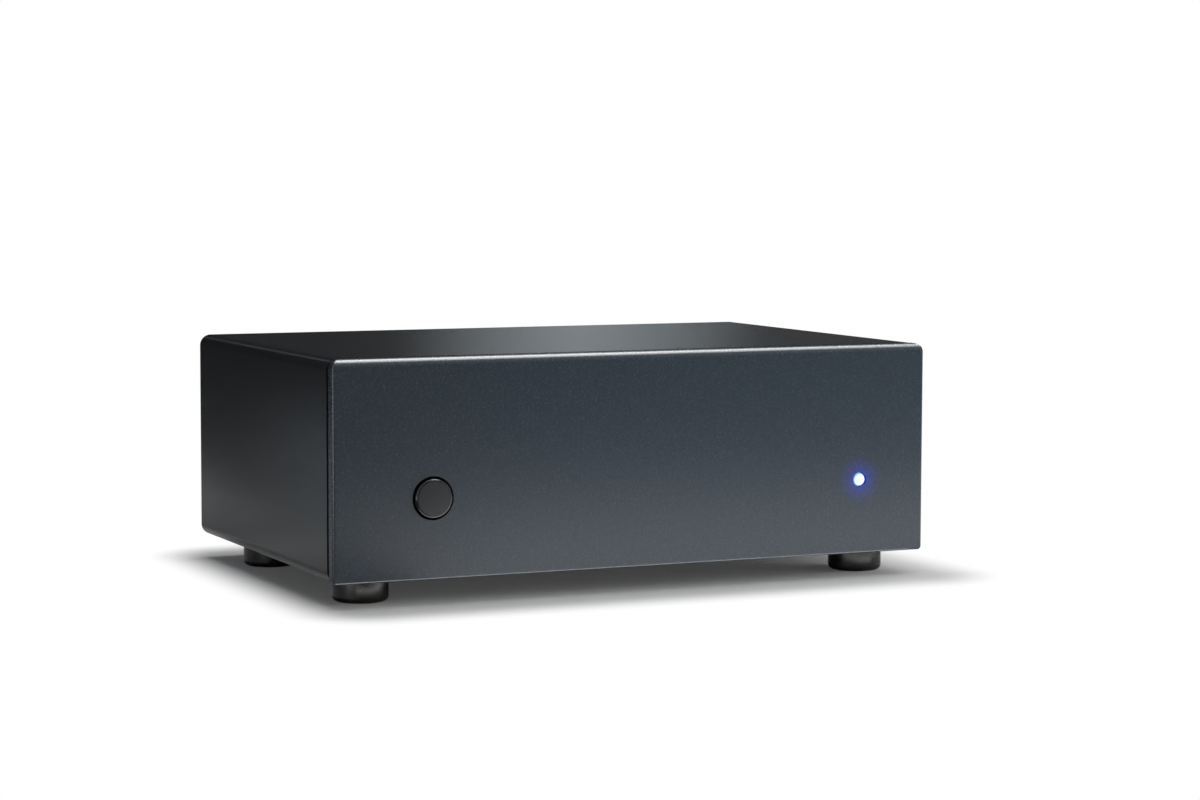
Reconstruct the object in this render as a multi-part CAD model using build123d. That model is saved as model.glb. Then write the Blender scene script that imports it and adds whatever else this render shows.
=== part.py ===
from build123d import *
from math import cos, pi, sin
import os

# Phono preamplifier: a folded steel cover slides over a folded tray, and a thick
# front panel closes the front. The tray carries the circuit board and the sockets.
# Millimetres. +Z is up, the front faces -Y, and the feet stand on z = 0.
# X = 0 is the middle of the case. While a piece is drawn, its depth (Y) is counted
# back from the front face of the front panel; place() moves all to the row's origin.

# Case
case_width = 135.0
case_height = 44.8
case_depth = 86.9          # front face of the panel to the rear edge of the cover
cover_sheet = 1.2
cover_bend = 2.4           # outside radius of the cover's four folds
flange_width = 21.0        # cover's in-turned flange under the case

# Front panel
panel_thickness = 2.4
panel_top_radius = 1.6     # rolled front edge along the top
panel_edge_radius = 0.5    # front edge on the other sides
panel_top_corner = 2.0
panel_low_corner = 0.8
panel_seam = 1.1           # gap between the panel's back and the cover

# Tray
tray_sheet = 1.2
tray_bend = 2.0
tray_side_gap = 0.3        # to the cover's inner side walls
tray_top_gap = 0.4
tray_flange_height = 8.0
corner_relief = 2.6
rear_recess = 0.9          # rear wall sits this far inside the cover's edge

# Feet and the screws through them
foot_diameter = 11.5
foot_height = 5.1
foot_edge_radius = 1.1
foot_side_inset = 10.0     # foot's axis to the case's side
front_foot_depth = 11.7
rear_foot_inset = 18.1     # foot's axis to the rear edge of the cover
foot_floor = 2.3           # material between the screw head and the case
foot_recess_diameter = 7.0
foot_screw_diameter = 3.0
foot_screw_head_diameter = 5.6
foot_screw_head_height = 1.8
foot_screw_hole_gap = 0.2
foot_nut_across = 5.5
foot_nut_height = 2.4

# Screws that hold the panel from inside
panel_screw_diameter = 2.5
panel_screw_side_inset = 8.5
panel_screw_rise_inset = 7.9
panel_screw_bite = 1.4     # into the panel's blind holes
panel_screw_head_diameter = 4.5
panel_screw_head_height = 1.5
screw_gap = 0.15

# Circuit board
board_thickness = 1.6
board_side_gap = 8.0       # from the board's edge to the tray's side
board_front_gap = 1.6
board_rear_gap = 0.5
board_corner_radius = 1.5
standoff_height = 5.0
standoff_diameter = 6.0
standoff_hole_floor = 0.6
standoff_side_inset = 12.0   # axis to the board's side edge
standoff_front_inset = 29.0  # clear of the power switch
standoff_rear_inset = 20.3   # clear of the sockets
board_screw_diameter = 3.0
board_screw_head_diameter = 5.5
board_screw_head_height = 1.7
board_screw_length = 5.2

# Power button and its switch
button_side_inset = 21.3   # axis to the case's left side
button_rise = 16.45        # axis above the underside of the case
button_diameter = 8.0
button_gap = 0.45          # ring between the button and the panel
button_proud = 0.8
button_rim_radius = 0.5
button_length = 5.8
button_travel = 1.5
stem_diameter = 4.0
stem_reach = 6.5           # into the switch
stem_gap = 0.1
switch_width = 12.0
switch_length = 17.0
switch_above_axis = 4.6
switch_front_gap = 1.2     # left between button and switch when it is pressed home
switch_collar_diameter = 8.0
switch_collar_length = 1.0
switch_edge = 0.8
switch_bore_spare = 1.0    # left past the stem when it is pressed home

# Indicator light
lamp_side_inset = 15.5     # axis to the case's right side
lamp_rise = 15.9
lamp_diameter = 3.0
lamp_gap = 0.1
lamp_proud = 0.4
lamp_length = 5.3
lamp_flange_diameter = 3.8
lamp_flange_length = 1.0
lamp_holder_width = 5.0
lamp_holder_depth = 6.0
lamp_holder_cap = 0.6      # above the light's flange
lamp_holder_radius = 2.0

# Twin phono sockets
socket_side_insets = {"input": 25.5, "output": 61.5}   # axes to the case's right side
socket_pitch = 14.0        # left above right
socket_first_rise = 7.0    # lower socket's axis above the board
socket_body_width = 10.6
socket_body_depth = 12.0
socket_body_height = 28.0
socket_body_groove = 1.2
socket_body_chamfer = 3.0
socket_boss_diameter = 9.8
socket_boss_proud = 0.4
socket_boss_gap = 0.15
shell_diameter = 8.3
shell_length = 9.0
shell_wall = 0.5
shell_tail_diameter = 8.8  # flange of the shell, seated in the boss
shell_tail_length = 3.0
insulator_recess = 0.6
contact_diameter = 4.1
contact_bore = 3.3
contact_recess = 1.2
contact_length = 8.0
contact_floor = 1.0
socket_screw_diameter = 2.4
socket_screw_head_diameter = 3.8
socket_screw_head_height = 1.3
socket_screw_bite = 5.0

# Power inlet
inlet_side_inset = 25.5    # axis to the case's left side
inlet_rise = 6.5
inlet_body_width = 9.4
inlet_body_depth = 14.4
inlet_body_height = 11.0
inlet_body_chamfer = 1.2
inlet_nose_diameter = 8.0
inlet_nose_gap = 0.2
inlet_bore = 6.3
inlet_bore_depth = 9.0
inlet_pin_diameter = 2.1
inlet_pin_recess = 1.0
inlet_pin_tip = 0.4
inlet_root_diameter = 2.8
inlet_root_length = 2.0

# Gain slide switch
slide_spacing = 22.0       # middle of the switch to the output sockets' axis
slide_rise = 3.9
slide_body_width = 13.2
slide_body_depth = 5.0
slide_body_height = 7.4
slide_frame_sheet = 0.5
slide_frame_wrap = 3.0
slide_travel = 4.0
slide_carriage_width = 6.2
slide_carriage_height = 4.6
slide_carriage_depth = 1.6
slide_knob_width = 3.6
slide_knob_height = 3.4
slide_knob_proud = 2.8
slide_gap = 0.2
slide_slot_gap = 0.35
slide_rib_count = 3
slide_rib_depth = 0.3
slide_rib_width = 0.5

# Ground terminal
ground_spacing = 18.0      # axis to the output sockets' axis
ground_rise = 14.0
stud_diameter = 4.0
stud_hole_gap = 0.15
stud_head_diameter = 7.5
stud_head_height = 2.2
stud_tip = 0.4
ground_nut_across = 7.0
ground_nut_height = 2.2
ground_washer_diameter = 9.0
ground_washer_thickness = 0.8
ground_knob_diameter = 10.0
ground_knob_height = 6.4
ground_knob_chamfer = 0.6
ground_knob_teeth = 30
ground_tooth_depth = 0.45
ground_thread_pitch = 0.7
ground_turns = 3.0
ground_running_gap = 0.1

# Parts on the board
electrolytic_diameter = 10.0
electrolytic_height = 13.0
electrolytic_groove = 0.5  # depth of the crimp
electrolytic_groove_rise = 2.0
electrolytic_edge = 0.4
electrolytic_places = {"left": (-20.0, 32.0), "right": (-6.0, 32.0)}
film_width = 13.0
film_depth = 5.0
film_height = 10.0
film_edge = 0.6
film_places = {"left": (14.0, 58.0), "right": (32.0, 58.0)}
chip_width = 6.4
chip_length = 9.6
chip_height = 3.3
chip_stand = 0.6
chip_pin_pitch = 2.54
chip_pin_width = 0.6
chip_pin_sheet = 0.3
chip_pins_a_side = 4
chip_dimple_diameter = 1.6
chip_dimple_depth = 0.4
chip_places = {"first": (16.0, 36.0), "second": (34.0, 36.0)}
regulator_spacing = 6.0    # middle of the regulator to the inlet's axis
regulator_depth = 56.0
regulator_width = 10.2
regulator_body_height = 9.0
regulator_body_depth = 4.5
regulator_stand = 3.0
regulator_tab_sheet = 1.3
regulator_tab_height = 15.5
regulator_hole = 3.6
regulator_hole_drop = 3.0  # hole's axis below the tab's top
regulator_lead_pitch = 2.54
regulator_lead_width = 0.8
regulator_lead_sheet = 0.6
resistor_places = [(-8.0, 50.0), (-8.0, 56.0), (10.0, 46.0), (28.0, 46.0)]
resistor_length = 6.5
resistor_diameter = 2.4
resistor_stand = 0.3       # under the body
resistor_lead = 0.6
resistor_lead_span = 10.2

# Heights and depths that follow from the sizes above
case_low = foot_height
case_high = foot_height + case_height
case_middle = foot_height + case_height / 2
cover_front = panel_thickness + panel_seam
tray_width = case_width - 2 * cover_sheet - 2 * tray_side_gap
tray_front = panel_thickness
tray_rear = case_depth - rear_recess
tray_low = case_low + cover_sheet
tray_floor = tray_low + tray_sheet
tray_high = case_high - cover_sheet - tray_top_gap
wall_back = tray_front + tray_sheet        # front wall's inner face
wall_inner = tray_rear - tray_sheet        # rear wall's inner face
board_low = tray_floor + standoff_height
board_top = board_low + board_thickness
board_width = tray_width - 2 * board_side_gap
board_front = wall_back + board_front_gap
board_rear = wall_inner - board_rear_gap
case_side = case_width / 2
button_x = button_side_inset - case_side
button_z = case_low + button_rise
lamp_x = case_side - lamp_side_inset
lamp_z = case_low + lamp_rise
button_back = button_length - button_proud
switch_front = button_back + button_travel + switch_front_gap
stem_end = switch_front + stem_reach
socket_pair_x = {name: case_side - inset for name, inset in socket_side_insets.items()}
shell_start = tray_rear + socket_boss_proud
shell_end = shell_start + shell_length
socket_heights = {"right": board_top + socket_first_rise,
                  "left": board_top + socket_first_rise + socket_pitch}
socket_screw_z = board_top + socket_first_rise + socket_pitch / 2
inlet_x = inlet_side_inset - case_side
inlet_z = board_top + inlet_rise
slide_x = socket_pair_x["output"] - slide_spacing
slide_z = board_top + slide_rise
slide_frame_back = wall_inner
slide_body_back = slide_frame_back - slide_frame_sheet
ground_x = socket_pair_x["output"] + ground_spacing
ground_z = board_top + ground_rise
ground_travel = ground_turns * ground_thread_pitch
washer_start = tray_rear + ground_nut_height
knob_start = washer_start + ground_washer_thickness
knob_end = knob_start + ground_knob_height
stud_end = knob_end + ground_travel + stud_tip
foot_x = case_side - foot_side_inset
rear_foot_depth = case_depth - rear_foot_inset
foot_places = {"front_left": (-foot_x, front_foot_depth),
               "front_right": (foot_x, front_foot_depth),
               "rear_left": (-foot_x, rear_foot_depth),
               "rear_right": (foot_x, rear_foot_depth)}
panel_screw_x = case_side - panel_screw_side_inset
panel_screw_places = [(x, z) for x in (-panel_screw_x, panel_screw_x)
                      for z in (case_low + panel_screw_rise_inset, case_high - panel_screw_rise_inset)]
standoff_x = board_width / 2 - standoff_side_inset
standoff_places = [(x, depth) for x in (-standoff_x, standoff_x)
                   for depth in (board_front + standoff_front_inset, board_rear - standoff_rear_inset)]
rear_reach = max(stud_end, shell_end, case_depth)
middle_depth = (rear_reach - button_proud) / 2


def place(piece):
    return Pos(0, -middle_depth, 0) * piece


def slab(outline, start, end):
    # An outline drawn in X and Z, as thick as the run from one depth to another
    plane = Plane(origin=(0, end, 0), x_dir=(1, 0, 0), z_dir=(0, -1, 0))
    return extrude(plane * outline, amount=end - start)


def block(width, depth, height, x, start, low):
    return Pos(x, start + depth / 2, low + height / 2) * Box(width, depth, height)


def turned(points, x, z):
    # A round piece on an axis along the depth, from (radius, depth) points
    return Pos(x, 0, z) * revolve(make_face(Polyline(*points, close=True)), Axis.Y)


def turned_up(points, x, depth):
    # A round piece on an upright axis, from (radius, height) points
    return Pos(x, depth, 0) * revolve(Plane.XZ * make_face(Polyline(*points, close=True)), Axis.Z)


def rod(diameter, start, end, x, z):
    return slab(Pos(x, z) * Circle(diameter / 2), start, end)


def post(diameter, low, high, x, depth):
    return Pos(x, depth, (low + high) / 2) * Cylinder(diameter / 2, high - low)


def top_cover():
    outside = RectangleRounded(case_width, case_height, cover_bend)
    inside = RectangleRounded(case_width - 2 * cover_sheet, case_height - 2 * cover_sheet,
                              cover_bend - cover_sheet)
    wrap = Pos(0, case_middle) * (outside - inside)
    mouth = Pos(0, case_low) * Rectangle(case_width - 2 * flange_width, 3 * cover_sheet)
    cover = slab(wrap - mouth, cover_front, case_depth)
    for x, depth in foot_places.values():
        cover -= post(foot_screw_diameter + 2 * foot_screw_hole_gap, case_low - 1, tray_low + 1, x, depth)
    return cover


def tray_blank():
    # Folded floor, front wall and rear wall, with low side flanges that stop short of both walls
    depth = tray_rear - tray_front
    height = tray_high - tray_low
    outer = block(tray_width, depth, height, 0, tray_front, tray_low)
    outer = fillet(outer.faces().sort_by(Axis.Z)[0].edges(), tray_bend)
    inner = block(tray_width - 2 * tray_sheet, depth - 2 * tray_sheet, height, 0, wall_back, tray_floor)
    inner = fillet(inner.faces().sort_by(Axis.Z)[0].edges(), tray_bend - tray_sheet)
    tray = outer - inner
    tray -= block(tray_width + 2, wall_inner - wall_back, height, 0, wall_back,
                  tray_low + tray_flange_height)
    relief_width = 2 * (tray_bend + tray_sheet)
    for side in (-1, 1):
        for start in (wall_back, wall_inner - corner_relief):
            tray -= block(relief_width, corner_relief, 2 * height, side * tray_width / 2, start,
                          tray_low - height)
    return tray


def chassis_tray():
    tray = tray_blank()
    for x, depth in foot_places.values():
        tray -= post(foot_screw_diameter + 2 * foot_screw_hole_gap, tray_low - 1, tray_floor + 1, x, depth)
    front_cuts = [Pos(x, z) * Circle(panel_screw_diameter / 2 + screw_gap) for x, z in panel_screw_places]
    front_cuts.append(Pos(button_x, button_z) * Circle(button_diameter / 2 + button_gap))
    front_cuts.append(Pos(lamp_x, lamp_z) * Circle(lamp_diameter / 2 + 2 * lamp_gap))
    for cut in front_cuts:
        tray -= slab(cut, tray_front - 1, wall_back + 0.1)
    rear_cuts = [Pos(inlet_x, inlet_z) * Circle(inlet_nose_diameter / 2 + inlet_nose_gap),
                 Pos(ground_x, ground_z) * Circle(stud_diameter / 2 + stud_hole_gap),
                 Pos(slide_x, slide_z) * Rectangle(slide_knob_width + slide_travel + 4 * slide_slot_gap,
                                                   slide_knob_height + 4 * slide_slot_gap)]
    for x in socket_pair_x.values():
        rear_cuts.append(Pos(x, socket_screw_z) * Circle(socket_screw_diameter / 2 + screw_gap))
        rear_cuts += [Pos(x, z) * Circle(socket_boss_diameter / 2 + socket_boss_gap)
                      for z in socket_heights.values()]
    for cut in rear_cuts:
        tray -= slab(cut, wall_inner - 0.1, tray_rear + 1)
    return tray


def front_panel():
    outline = Rectangle(case_width, case_height)
    corners = outline.vertices().sort_by(Axis.Y)
    outline = fillet(corners[2:], panel_top_corner)
    outline = fillet(outline.vertices().sort_by(Axis.Y)[:2], panel_low_corner)
    panel = slab(Pos(0, case_middle) * outline, 0, panel_thickness)
    panel = fillet(panel.faces().sort_by(Axis.Y)[0].edges(), panel_edge_radius)
    side = Pos(panel_thickness / 2, case_middle) * Rectangle(panel_thickness, case_height)
    front_top = side.vertices().sort_by(Axis.Y)[2:].sort_by(Axis.X)[0]
    side = fillet(front_top, panel_top_radius)
    rolled = extrude(Plane(origin=(-case_width / 2, 0, 0), x_dir=(0, 1, 0), z_dir=(1, 0, 0)) * side,
                     amount=case_width)
    panel &= rolled
    panel -= rod(button_diameter + 2 * button_gap, -1, panel_thickness + 1, button_x, button_z)
    panel -= rod(lamp_diameter + 2 * lamp_gap, -1, panel_thickness + 1, lamp_x, lamp_z)
    for x, z in panel_screw_places:
        panel -= rod(panel_screw_diameter, panel_thickness - panel_screw_bite, panel_thickness + 1, x, z)
    return panel


def foot(x, depth):
    radius = foot_diameter / 2
    body = Pos(x, depth, foot_height / 2) * Cylinder(radius, foot_height)
    body = fillet(body.faces().sort_by(Axis.Z)[0].edges(), foot_edge_radius)
    body -= post(foot_recess_diameter, -1, foot_height - foot_floor, x, depth)
    return body - post(foot_screw_diameter + 2 * foot_screw_hole_gap, 0, foot_height + 1, x, depth)


def foot_screw(x, depth):
    head_top = foot_height - foot_floor
    shank = foot_screw_diameter / 2
    head = foot_screw_head_diameter / 2
    tip = tray_floor + foot_nut_height
    return turned_up([(0, head_top - foot_screw_head_height), (head, head_top - foot_screw_head_height),
                      (head, head_top), (shank, head_top), (shank, tip), (0, tip)], x, depth)


def hex_nut(across, bore, height):
    return extrude(RegularPolygon(across / 2, 6, major_radius=False) - Circle(bore / 2), amount=height)


def panel_screw(x, z):
    head_end = wall_back + panel_screw_head_height
    tip = panel_thickness - panel_screw_bite
    shank = panel_screw_diameter / 2
    head = panel_screw_head_diameter / 2
    return turned([(0, tip), (shank, tip), (shank, wall_back), (head, wall_back),
                   (head, head_end), (0, head_end)], x, z)


def main_board():
    board = block(board_width, board_rear - board_front, board_thickness, 0, board_front, board_low)
    board = fillet(board.edges().filter_by(Axis.Z), board_corner_radius)
    for x, depth in standoff_places:
        board -= post(board_screw_diameter + 2 * screw_gap, board_low - 1, board_top + 1, x, depth)
    return board


def standoff(x, depth):
    pillar = post(standoff_diameter, tray_floor, board_low, x, depth)
    return pillar - post(board_screw_diameter, tray_floor + standoff_hole_floor, board_low + 1, x, depth)


def board_screw(x, depth):
    head = board_screw_head_diameter / 2
    shank = board_screw_diameter / 2
    head_top = board_top + board_screw_head_height
    tip = board_top - board_screw_length
    return turned_up([(0, tip), (shank, tip), (shank, board_top), (head, board_top),
                      (head, head_top), (0, head_top)], x, depth)


def power_button():
    cap = rod(button_diameter, -button_proud, button_back, button_x, button_z)
    cap = fillet(cap.faces().sort_by(Axis.Y)[0].edges(), button_rim_radius)
    return cap + rod(stem_diameter, button_back, stem_end, button_x, button_z)


def power_switch():
    height = button_z + switch_above_axis - board_top
    body = block(switch_width, switch_length, height, button_x, switch_front, board_top)
    body = chamfer(body.edges().filter_by(Axis.Z), switch_edge)
    body += rod(switch_collar_diameter, switch_front - switch_collar_length, switch_front + 1,
                button_x, button_z)
    bore_end = stem_end + button_travel + switch_bore_spare
    return body - rod(stem_diameter + 2 * stem_gap, 0, bore_end, button_x, button_z)


def power_lamp():
    radius = lamp_diameter / 2
    back = lamp_length - lamp_proud
    flange = back - lamp_flange_length
    lens = rod(lamp_diameter, radius - lamp_proud, back, lamp_x, lamp_z)
    lens += Pos(lamp_x, radius - lamp_proud, lamp_z) * Sphere(radius)
    return lens + rod(lamp_flange_diameter, flange, back, lamp_x, lamp_z)


def lamp_holder():
    start = lamp_length - lamp_proud
    height = lamp_z + lamp_flange_diameter / 2 + lamp_holder_cap - board_top
    holder = block(lamp_holder_width, lamp_holder_depth, height, lamp_x, start, board_top)
    top_rear = holder.edges().filter_by(Axis.X).sort_by(Axis.Z)[2:].sort_by(Axis.Y)[1]
    return fillet(top_rear, lamp_holder_radius)


def socket_body(x):
    start = wall_inner - socket_body_depth
    body = block(socket_body_width, socket_body_depth, socket_body_height, x, start, board_top)
    top_front = body.edges().filter_by(Axis.X).sort_by(Axis.Z)[2:].sort_by(Axis.Y)[0]
    body = chamfer(top_front, socket_body_chamfer)
    groove = block(socket_body_width + 2, socket_body_depth / 2, socket_body_groove, x, start - 1,
                   socket_screw_z - socket_body_groove / 2)
    body -= groove
    for z in socket_heights.values():
        body += rod(socket_boss_diameter, wall_inner - 1, shell_start, x, z)
        body -= rod(shell_tail_diameter, shell_start - shell_tail_length, shell_start + 1, x, z)
    screw_hole = rod(socket_screw_diameter, wall_inner - socket_screw_bite, wall_inner + 1, x,
                     socket_screw_z)
    return body - screw_hole


def socket_shell(x, z):
    outer = shell_diameter / 2
    inner = outer - shell_wall
    tail = shell_tail_diameter / 2
    start = shell_start - shell_tail_length
    return turned([(inner, start), (tail, start), (tail, shell_start), (outer, shell_start),
                   (outer, shell_end), (inner, shell_end)], x, z)


def socket_insulator(x, z):
    outer = shell_diameter / 2 - shell_wall
    face = shell_end - insulator_recess
    lip = face - contact_recess
    start = shell_start - shell_tail_length
    return turned([(0, start), (outer, start), (outer, face), (contact_bore / 2, face),
                   (contact_bore / 2, lip), (contact_diameter / 2, lip),
                   (contact_diameter / 2, lip - contact_length), (0, lip - contact_length)], x, z)


def socket_contact(x, z):
    front = shell_end - insulator_recess - contact_recess
    back = front - contact_length
    outer = contact_diameter / 2
    bore = contact_bore / 2
    return turned([(0, back), (outer, back), (outer, front), (bore, front),
                   (bore, back + contact_floor), (0, back + contact_floor)], x, z)


def socket_screw(x):
    head = socket_screw_head_diameter / 2
    shank = socket_screw_diameter / 2
    tip = wall_inner - socket_screw_bite
    head_end = tray_rear + socket_screw_head_height
    return turned([(0, tip), (shank, tip), (shank, tray_rear), (head, tray_rear),
                   (head, head_end), (0, head_end)], x, socket_screw_z)


def inlet_body():
    body = block(inlet_body_width, inlet_body_depth, inlet_body_height, inlet_x,
                 wall_inner - inlet_body_depth, board_top)
    body = chamfer(body.edges().filter_by(Axis.Y).sort_by(Axis.Z)[2:], inlet_body_chamfer)
    body += rod(inlet_nose_diameter, wall_inner - 1, tray_rear, inlet_x, inlet_z)
    body -= rod(inlet_bore, tray_rear - inlet_bore_depth, tray_rear + 1, inlet_x, inlet_z)
    root_start = tray_rear - inlet_bore_depth - inlet_root_length
    return body - rod(inlet_root_diameter, root_start, tray_rear, inlet_x, inlet_z)


def inlet_pin():
    pin = inlet_pin_diameter / 2
    root = inlet_root_diameter / 2
    floor = tray_rear - inlet_bore_depth
    tip = tray_rear - inlet_pin_recess
    return turned([(0, floor - inlet_root_length), (root, floor - inlet_root_length), (root, floor),
                   (pin, floor), (pin, tip - inlet_pin_tip), (pin - inlet_pin_tip, tip), (0, tip)],
                  inlet_x, inlet_z)


def slide_base():
    base = block(slide_body_width, slide_body_depth, slide_body_height, slide_x,
                 slide_body_back - slide_body_depth, board_top)
    width = slide_carriage_width + slide_travel + 2 * slide_gap
    height = slide_carriage_height + 2 * slide_gap
    depth = slide_carriage_depth + slide_gap
    pocket = Pos(slide_x, slide_z) * Rectangle(width, height)
    return base - slab(pocket, slide_body_back - depth, slide_body_back + 1)


def slide_frame():
    # Steel plate in front of the base, with a lip folded over its top
    face = block(slide_body_width, slide_frame_sheet, slide_body_height + slide_frame_sheet,
                 slide_x, slide_body_back, board_top)
    lip = block(slide_body_width, slide_frame_wrap, slide_frame_sheet, slide_x,
                slide_body_back - slide_frame_wrap, board_top + slide_body_height)
    slot = Pos(slide_x, slide_z) * Rectangle(slide_knob_width + slide_travel + 2 * slide_slot_gap,
                                             slide_knob_height + 2 * slide_slot_gap)
    return face + lip - slab(slot, slide_body_back - 1, slide_frame_back + 1)


def slide_knob():
    x = slide_x - slide_travel / 2
    end = tray_rear + slide_knob_proud
    carriage = Pos(x, slide_z) * Rectangle(slide_carriage_width, slide_carriage_height)
    knob = Pos(x, slide_z) * Rectangle(slide_knob_width, slide_knob_height)
    slider = slab(carriage, slide_body_back - slide_carriage_depth, slide_body_back)
    slider += slab(knob, slide_body_back - 0.1, end)
    pitch = slide_knob_width / (slide_rib_count + 1)
    for rib in range(slide_rib_count):
        rib_x = x + (rib + 1) * pitch - slide_knob_width / 2
        slider -= block(slide_rib_width, 2 * slide_rib_depth, slide_knob_height + 2, rib_x,
                        end - slide_rib_depth, slide_z - slide_knob_height / 2 - 1)
    return slider


def ground_stud():
    stud = stud_diameter / 2
    head = stud_head_diameter / 2
    head_start = wall_inner - stud_head_height
    return turned([(0, head_start), (head, head_start), (head, wall_inner), (stud, wall_inner),
                   (stud, stud_end - stud_tip), (stud - stud_tip, stud_end), (0, stud_end)],
                  ground_x, ground_z)


def ground_nut():
    nut = RegularPolygon(ground_nut_across / 2, 6, major_radius=False) - Circle(stud_diameter / 2)
    return slab(Pos(ground_x, ground_z) * nut, tray_rear, washer_start)


def ground_washer():
    ring = Circle(ground_washer_diameter / 2) - Circle(stud_diameter / 2 + ground_running_gap)
    return slab(Pos(ground_x, ground_z) * ring, washer_start, knob_start)


def ground_knob():
    # Straight knurl: a star of teeth, chamfered at both ends
    outer = ground_knob_diameter / 2
    inner = outer - ground_tooth_depth
    points = []
    for step in range(2 * ground_knob_teeth):
        radius = outer if step % 2 else inner
        angle = step * pi / ground_knob_teeth
        points.append((radius * cos(angle), radius * sin(angle)))
    star = Pos(ground_x, ground_z) * make_face(Polyline(*points, close=True))
    small = outer - ground_knob_chamfer
    start = knob_start
    end = knob_end
    turned_blank = turned([(0, start), (small, start), (outer, start + ground_knob_chamfer),
                           (outer, end - ground_knob_chamfer), (small, end), (0, end)], ground_x, ground_z)
    knob = slab(star, start, end) & turned_blank
    return knob - rod(stud_diameter + 2 * ground_running_gap, start - 1, end + 1, ground_x, ground_z)


def electrolytic(x, depth):
    radius = electrolytic_diameter / 2
    waist = radius - electrolytic_groove
    top = board_top + electrolytic_height
    groove = board_top + electrolytic_groove_rise
    return turned_up([(0, board_top), (radius, board_top), (radius, groove),
                      (waist, groove + electrolytic_groove), (radius, groove + 2 * electrolytic_groove),
                      (radius, top - electrolytic_edge), (radius - electrolytic_edge, top), (0, top)],
                     x, depth)


def film_capacitor(x, depth):
    body = block(film_width, film_depth, film_height, x, depth - film_depth / 2, board_top)
    return chamfer(body.edges().filter_by(Axis.Z), film_edge)


def chip(x, depth):
    low = board_top + chip_stand
    front = depth - chip_length / 2
    body = block(chip_width, chip_length, chip_height, x, front, low)
    top = low + chip_height
    body -= post(chip_dimple_diameter, top - chip_dimple_depth, top + 1, x, front)
    rise = chip_stand + chip_height / 2
    pin_x = (chip_width + chip_pin_sheet) / 2
    for side in (-1, 1):
        for pin in range(chip_pins_a_side):
            pin_depth = depth + (pin - (chip_pins_a_side - 1) / 2) * chip_pin_pitch - chip_pin_width / 2
            body += block(chip_pin_sheet, chip_pin_width, rise, x + side * pin_x, pin_depth, board_top)
    return body


def voltage_regulator():
    x, depth = inlet_x + regulator_spacing, regulator_depth
    low = board_top + regulator_stand
    body = block(regulator_width, regulator_body_depth, regulator_body_height, x, depth, low)
    tab_start = depth + regulator_body_depth - regulator_tab_sheet
    body += block(regulator_width, regulator_tab_sheet, regulator_tab_height, x, tab_start, low)
    hole_z = low + regulator_tab_height - regulator_hole_drop
    body -= rod(regulator_hole, tab_start - 1, tab_start + regulator_tab_sheet + 1, x, hole_z)
    lead_start = depth + (regulator_body_depth - regulator_lead_sheet) / 2
    for lead in (-1, 0, 1):
        body += block(regulator_lead_width, regulator_lead_sheet, regulator_stand + 1,
                      x + lead * regulator_lead_pitch, lead_start, board_top)
    return body


def resistor(x, depth):
    # Body held just above the board by its two bent leads
    radius = resistor_diameter / 2
    middle = board_top + radius + resistor_stand
    body = Pos(x, depth, middle) * Rot(0, 90, 0) * Cylinder(radius, resistor_length)
    wire = block(resistor_lead_span, resistor_lead, resistor_lead, x, depth - resistor_lead / 2,
                 middle - resistor_lead / 2)
    piece = body + wire
    for side in (-1, 1):
        lead_x = x + side * (resistor_lead_span - resistor_lead) / 2
        piece += block(resistor_lead, resistor_lead, middle - board_top, lead_x,
                       depth - resistor_lead / 2, board_top)
    return piece


def all_nodes():
    nodes = {"top_cover": top_cover(), "chassis_tray": chassis_tray(), "front_panel": front_panel()}
    for name, (x, depth) in foot_places.items():
        nodes["foot_" + name] = foot(x, depth)
    spots = list(foot_places.values())
    nodes["foot_screws"] = Part() + [foot_screw(x, depth) for x, depth in spots]
    nut = hex_nut(foot_nut_across, foot_screw_diameter, foot_nut_height)
    nodes["foot_nuts"] = Part() + [Pos(x, depth, tray_floor) * nut for x, depth in spots]
    nodes["front_panel_screws"] = Part() + [panel_screw(x, z) for x, z in panel_screw_places]
    nodes["main_board"] = main_board()
    nodes["board_standoffs"] = Part() + [standoff(x, depth) for x, depth in standoff_places]
    nodes["board_screws"] = Part() + [board_screw(x, depth) for x, depth in standoff_places]
    nodes["power_button"] = power_button()
    nodes["power_switch"] = power_switch()
    nodes["power_light"] = power_lamp()
    nodes["light_holder"] = lamp_holder()
    for name, x in socket_pair_x.items():
        nodes[name + "_socket_body"] = socket_body(x)
        for side, z in socket_heights.items():
            socket = name + "_" + side
            nodes[socket + "_shell"] = socket_shell(x, z)
            nodes[socket + "_insulator"] = socket_insulator(x, z)
            nodes[socket + "_contact"] = socket_contact(x, z)
    nodes["socket_screws"] = Part() + [socket_screw(x) for x in socket_pair_x.values()]
    nodes["power_inlet"] = inlet_body()
    nodes["inlet_pin"] = inlet_pin()
    nodes["gain_switch_base"] = slide_base()
    nodes["gain_switch_frame"] = slide_frame()
    nodes["gain_switch_knob"] = slide_knob()
    nodes["ground_stud"] = ground_stud()
    nodes["ground_nut"] = ground_nut()
    nodes["ground_washer"] = ground_washer()
    nodes["ground_knob"] = ground_knob()
    for name, (x, depth) in electrolytic_places.items():
        nodes["supply_capacitor_" + name] = electrolytic(x, depth)
    for name, (x, depth) in film_places.items():
        nodes["film_capacitor_" + name] = film_capacitor(x, depth)
    for name, (x, depth) in chip_places.items():
        nodes["amplifier_chip_" + name] = chip(x, depth)
    nodes["voltage_regulator"] = voltage_regulator()
    nodes["resistors"] = Part() + [resistor(x, depth) for x, depth in resistor_places]
    return nodes


os.makedirs("parts", exist_ok=True)
for node, piece in all_nodes().items():
    export_step(place(piece), "parts/" + node + ".step")
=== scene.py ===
from math import atan2, cos, pi, radians, sin, tan
import bmesh
import bpy
from mathutils import Matrix, Vector


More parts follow.
